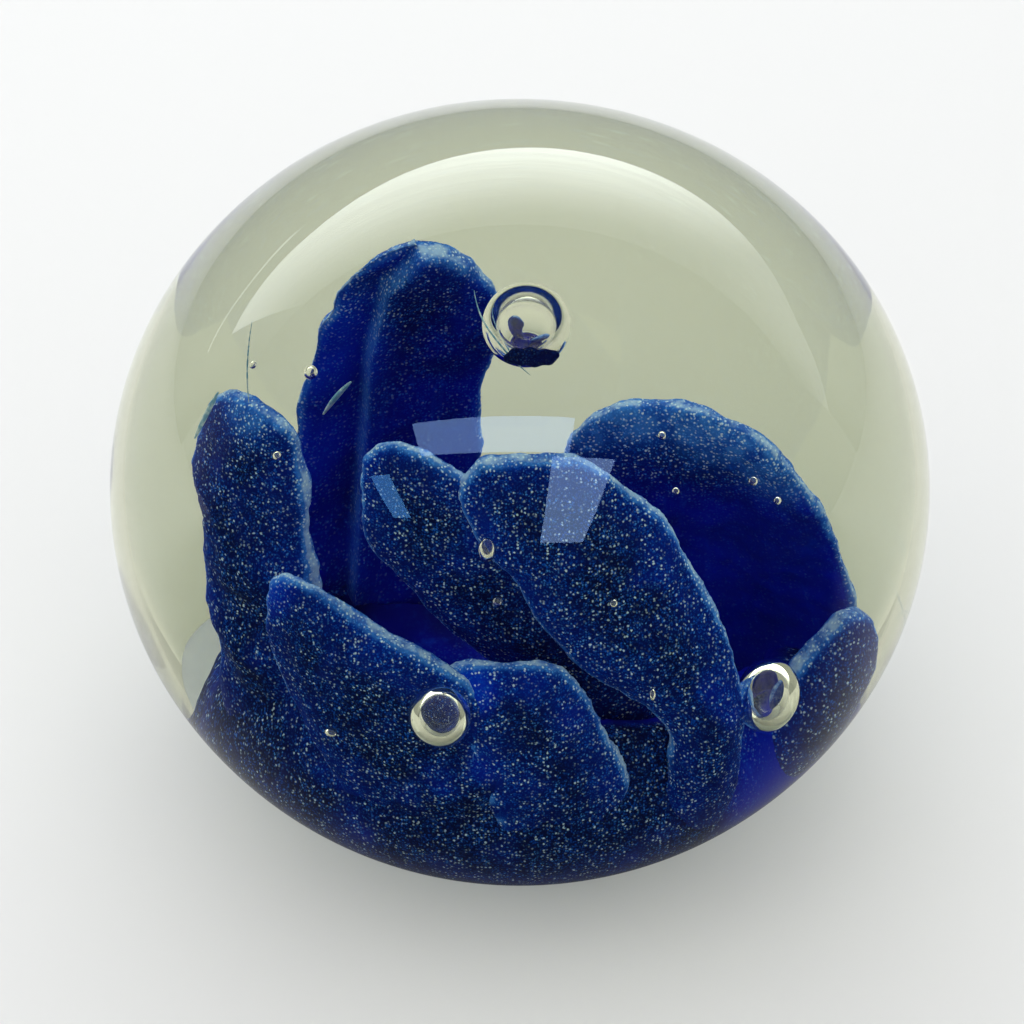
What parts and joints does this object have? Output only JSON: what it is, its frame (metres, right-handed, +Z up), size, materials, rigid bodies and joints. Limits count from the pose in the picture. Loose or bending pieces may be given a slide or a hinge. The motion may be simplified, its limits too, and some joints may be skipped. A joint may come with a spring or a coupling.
{
  "type": "paperweight",
  "caption": "Oblate clear glass dome, ground flat underneath, cased over a cobalt glass flower of upright petals with trapped air bells.",
  "frame": {"origin": "centre of the flat ground base", "axes": "+Z up through the dome's crown, -Y towards the flower's front, where the lowest petals stand"},
  "size_m": [0.08, 0.08, 0.0648],
  "materials": {
    "clear_glass": "fire polished",
    "cobalt_frit": "cobalt glass with fine pale frit",
    "cobalt_deep": "smooth deep cobalt glass"
  },
  "bodies": {
    "root": {"outer_gather": "clear_glass", "inner_gather": "clear_glass", "ground_stub": "clear_glass", "cobalt_ground": "cobalt_deep", "petal_left": "cobalt_frit", "petal_back_left": "cobalt_frit", "petal_back_right": "cobalt_frit", "petal_right": "cobalt_frit", "petal_front_right": "cobalt_frit", "petal_centre": "cobalt_frit", "petal_front_left": "cobalt_frit", "petal_front": "cobalt_frit"}
  },
  "joints": []
}
